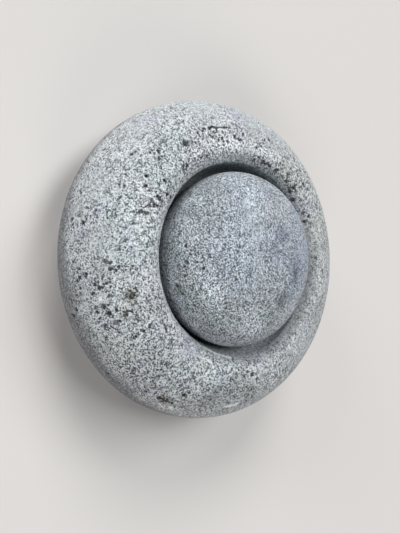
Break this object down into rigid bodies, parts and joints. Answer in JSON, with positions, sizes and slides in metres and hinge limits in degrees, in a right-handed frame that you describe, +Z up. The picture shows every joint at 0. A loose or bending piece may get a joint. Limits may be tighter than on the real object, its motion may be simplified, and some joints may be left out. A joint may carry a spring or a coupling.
{
  "type": "river pebble",
  "caption": "Thick round worked pebble with a bowl-shaped recess in its top and a smaller smooth domed pebble resting loose in the recess.",
  "frame": {"origin": "centre of the flat underside, on the surface that the stone rests on", "axes": "+Z up through the middle of both stones, square to the underside; the stones are round, so +X and +Y are any two level directions"},
  "size_m": [0.1, 0.0998, 0.0414],
  "materials": {
    "speckled_stone": "matt, fine grained, light grey with white and dark grains, pitted",
    "blue_grey_stone": "matt, smooth, blue grey, finely speckled"
  },
  "bodies": {
    "root": {"outer_stone": "speckled_stone", "inner_pebble": "blue_grey_stone"}
  },
  "joints": []
}
